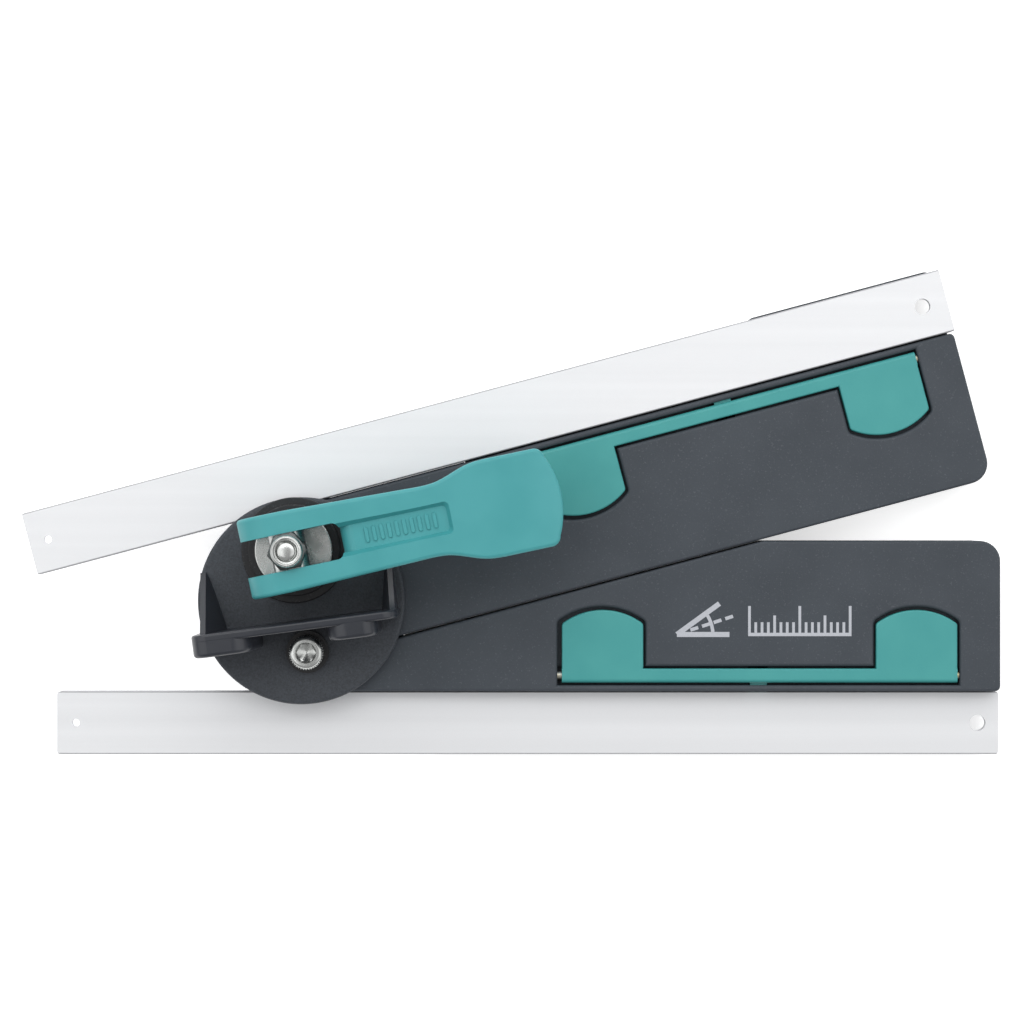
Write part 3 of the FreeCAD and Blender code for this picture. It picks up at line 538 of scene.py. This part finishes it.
def clamp_stud(material):
    """The clamp's bolt: round head under the hub, threaded end with a crowned tip."""
    low, high = (corner.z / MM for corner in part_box("clamp_bolt"))
    rings = [
        circle(HEAD - 0.4, low),
        circle(HEAD, low + 0.4),
        circle(HEAD, low + 3.3),
        circle(HEAD - 0.4, low + 3.7),
        circle(SHANK, low + 3.7),
        circle(SHANK, high - 16.0),
    ]
    rings += thread_rings(SHANK - 0.02, 0.5, high - 15.8, high - 0.95)
    rings += [
        circle(2.55, high - 0.75),
        circle(2.4, high - 0.4),
        circle(1.95, high - 0.16),
        circle(1.3, high - 0.04),
        circle(0.5, high),
    ]
    place = Matrix.Translation((CLAMP_PIN.x, CLAMP_PIN.y, 0))
    mesh = turned_piece("clamp_stud", rings, place, 96)
    stud = add_piece("clamp_stud", mesh, material, "clamp_carrier", 30)
    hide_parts("clamp_bolt")


def slab(shape, outline, low, high, matrix):
    """Add a thin closed prism with the given (x, y) outline, in millimetres.

    Each one is a hair taller than the last, so that no two tops lie in one plane.
    """
    high += 0.0001 * len(shape.verts)
    below = [shape.verts.new(matrix @ Vector((x * MM, y * MM, low * MM))) for x, y in outline]
    above = [shape.verts.new(matrix @ Vector((x * MM, y * MM, high * MM))) for x, y in outline]
    shape.faces.new(below[::-1])
    shape.faces.new(above)
    count = len(outline)
    for step in range(count):
        after = (step + 1) % count
        shape.faces.new((below[step], below[after], above[after], above[step]))


def slab_mesh(shape, name):
    """The mesh of a shape made of slabs, with its faces turned outward."""
    bmesh.ops.recalc_face_normals(shape, faces=shape.faces)
    return mesh_from(shape, name)


def stroke(start, end, width):
    """The outline of a straight stroke with square ends."""
    start, end = Vector(start), Vector(end)
    along = (end - start).normalized() * width / 2
    side = Vector((-along.y, along.x))
    return [tuple(start - side), tuple(end - side), tuple(end + side), tuple(start + side)]


def toward(degrees):
    """The direction at an angle from the x axis."""
    turn = math.radians(degrees)
    return Vector((math.cos(turn), math.sin(turn)))


def arc_stroke(centre, radius, width, first, last):
    """The outline of a stroke along an arc, between two angles in degrees."""
    steps = 18
    outer = []
    inner = []
    for step in range(steps + 1):
        way = toward(first + (last - first) * step / steps)
        outer.append(tuple(centre + (radius + width / 2) * way))
        inner.append(tuple(centre + (radius - width / 2) * way))
    return outer + inner[::-1]


def tick_height(tick):
    """Long ticks at the ends and the middle of the scale, short ones at its quarters."""
    if tick % 8 == 0:
        return 8.4
    if tick % 4 == 0:
        return 5.6
    return 3.6


def angle_print(material):
    """A printed sign on the lower arm: an angle with its bisector, and a plain scale."""
    shape = bmesh.new()
    # x along the arm, y away from the rail
    place = frame_matrix(Vector((LOWER_PIVOT.x, LOWER_PIVOT.y, 0)), LOWER_ALONG, -LOWER_OUT)
    top = ARM_TOP / MM
    low, high = top - 0.02, top + 0.03
    corner = Vector((SIGN_START, SIGN_LOW))
    for degrees in (0.0, SIGN_ANGLE):
        tip = corner + SIGN_REACH * toward(degrees)
        slab(shape, stroke(corner, tip, SIGN_BOLD), low, high, place)
    bisector = toward(SIGN_ANGLE / 2)
    for dash in range(DASH_COUNT):
        start = DASH_START + DASH_STEP * dash
        end = start + DASH_LENGTH
        outline = stroke(corner + start * bisector, corner + end * bisector, SIGN_FINE)
        slab(shape, outline, low, high, place)
    outline = arc_stroke(corner, SIGN_ARC, SIGN_FINE, 3.5, SIGN_ANGLE - 3.5)
    slab(shape, outline, low, high, place)
    outline = stroke((SCALE_START, SIGN_LOW), (SCALE_END, SIGN_LOW), SIGN_FINE)
    slab(shape, outline, low, high, place)
    for tick in range(TICK_COUNT + 1):
        length = SCALE_END - SCALE_START - TICK_WIDTH
        x = SCALE_START + TICK_WIDTH / 2 + length * tick / TICK_COUNT
        foot = SIGN_LOW + SIGN_FINE / 2
        outline = stroke((x, foot), (x, SIGN_LOW + tick_height(tick)), TICK_WIDTH)
        slab(shape, outline, low, high, place)
    mesh = slab_mesh(shape, "angle_sign")
    add_piece("angle_sign", mesh, material, "lower_arm")


def soften(piece, width):
    """Small rounded edges, by a modifier, so that the edges catch the light."""
    bevel = piece.modifiers.new("edges", "BEVEL")
    bevel.width = width
    bevel.segments = 2
    bevel.limit_method = "ANGLE"
    bevel.angle_limit = math.radians(35)
    bevel.harden_normals = False


def lever_ribs(material):
    """Fine raised ribs on the floor of the lever's panel."""
    shape = bmesh.new()
    place = frame_matrix(CLAMP_PIN, LEVER_ALONG, LEVER_LEFT)
    low, high = RIB_FLOOR - 0.2, RIB_FLOOR + 0.45
    steps = 8
    for rib in range(RIB_COUNT):
        middle = RIB_START + rib * RIB_STEP
        outline = []
        for end, first in ((RIB_HALF, 0), (-RIB_HALF, 180)):
            for step in range(steps + 1):
                point = Vector((middle, end)) + RIB_ROUND * toward(first + 180 * step / steps)
                outline.append(tuple(point))
        slab(shape, outline, low, high, place)
    mesh = slab_mesh(shape, "lever_ribs")
    ribs = add_piece("lever_ribs", mesh, material, "clamp_lever_body")
    soften(ribs, RIB_SOFT * MM)


# ---- stage --------------------------------------------------------------------------------------
def make_floor():
    """A white floor, a hair under the part, that glows a little so that it stays white."""
    size = 3.0
    mesh = bpy.data.meshes.new("floor")
    corners = [(-size, -size, 0), (size, -size, 0), (size, size, 0), (-size, size, 0)]
    mesh.from_pydata(corners, [], [(0, 1, 2, 3)])
    floor = bpy.data.objects.new("floor", mesh)
    floor.location.z = -0.0002
    bpy.context.scene.collection.objects.link(floor)
    shader = Shader("floor_white")
    shader.finish((0.93, 0.93, 0.93, 1.0), 0.9, specular=0.0)
    shader.base.inputs["Emission Color"].default_value = (1, 1, 1, 1)
    shader.base.inputs["Emission Strength"].default_value = 0.55
    mesh.materials.append(shader.material)


def softbox(name, place, width, depth, power):
    """A rectangular light that looks at the middle of the tool."""
    middle = Vector((0.06, 0.03, 0.0))
    light = bpy.data.lights.new(name, "AREA")
    light.energy = power
    light.shape = "RECTANGLE"
    light.size = width
    light.size_y = depth
    lamp = bpy.data.objects.new(name, light)
    lamp.location = place
    lamp.rotation_euler = (middle - Vector(place)).to_track_quat("-Z", "Y").to_euler()
    bpy.context.scene.collection.objects.link(lamp)


def make_light():
    """An even white surround and three softboxes, shown without a film look."""
    world = bpy.data.worlds.new("studio")
    world.use_nodes = True
    world.node_tree.nodes["Background"].inputs["Color"].default_value = (1, 1, 1, 1)
    world.node_tree.nodes["Background"].inputs["Strength"].default_value = 0.39
    bpy.context.scene.world = world
    softbox("back_softbox", (0.06, 0.85, 0.95), 2.0, 1.2, 11.4)
    softbox("left_softbox", (-0.75, 0.1, 0.95), 1.2, 1.4, 5.2)
    softbox("right_softbox", (0.9, 0.05, 0.95), 1.2, 1.4, 4.5)
    scene = bpy.context.scene
    scene.view_settings.view_transform = "Standard"
    scene.view_settings.look = "None"


def make_camera():
    """Straight above the tool; the width seen is at the level of the arms' tops."""
    distance = 0.77
    seen_width = 0.302065
    camera = bpy.data.cameras.new("camera")
    camera.sensor_width = 36.0
    camera.lens = camera.sensor_width * distance / seen_width
    holder = bpy.data.objects.new("camera", camera)
    holder.location = (0.0618, 0.02605, ARM_TOP + distance)
    bpy.context.scene.collection.objects.link(holder)
    bpy.context.scene.camera = holder


# ---- the whole scene ----------------------------------------------------------------------------
def main():
    materials = make_materials()
    dress_nodes(materials)
    cap_screw(materials["zinc"])
    lock_nut(materials["zinc"], materials["nut"])
    clamp_stud(materials["zinc"])
    angle_print(materials["print"])
    lever_ribs(materials["lever"])
    make_floor()
    make_light()
    make_camera()
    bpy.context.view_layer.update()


main()
